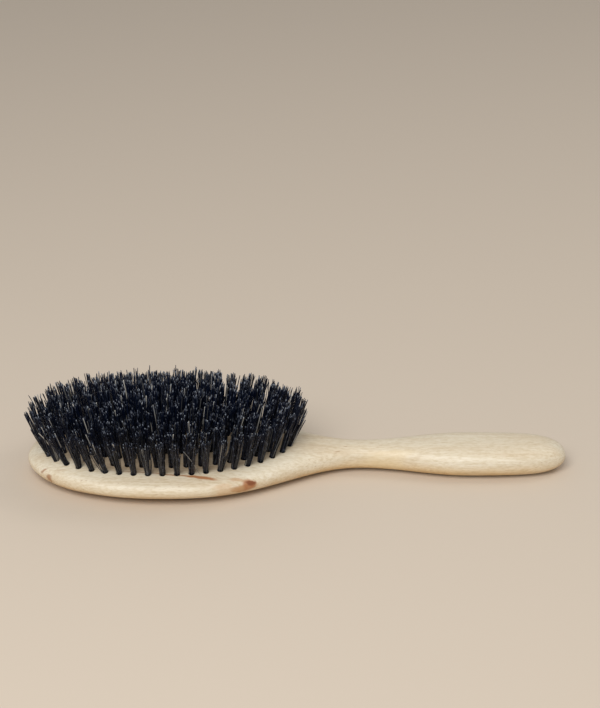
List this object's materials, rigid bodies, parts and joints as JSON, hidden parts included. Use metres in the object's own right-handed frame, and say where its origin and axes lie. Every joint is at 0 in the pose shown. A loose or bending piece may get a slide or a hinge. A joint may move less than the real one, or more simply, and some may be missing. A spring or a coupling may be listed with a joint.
{
  "type": "oval bristle hairbrush",
  "caption": "Oval flat hairbrush with a one-piece wooden head and handle, bored and filled with dark bristle tufts.",
  "frame": {"origin": "middle of the part's box, on the plane that its back rests on", "axes": "+X from the head to the handle, +Z out of the bristled face, +Y completes a right-handed frame"},
  "size_m": [0.225, 0.0717, 0.0337],
  "materials": {
    "beech": "satin",
    "bristle": "satin",
    "anchor_metal": "satin"
  },
  "bodies": {
    "root": {"brush_body": "beech", "tufts_ring_1": "bristle", "tufts_ring_2": "bristle", "tufts_ring_3": "bristle", "tufts_ring_4": "bristle", "tufts_ring_5": "bristle", "tufts_centre_row": "bristle", "anchors_ring_1": "anchor_metal", "anchors_ring_2": "anchor_metal", "anchors_ring_3": "anchor_metal", "anchors_ring_4": "anchor_metal", "anchors_ring_5": "anchor_metal", "anchors_centre_row": "anchor_metal"}
  },
  "joints": []
}
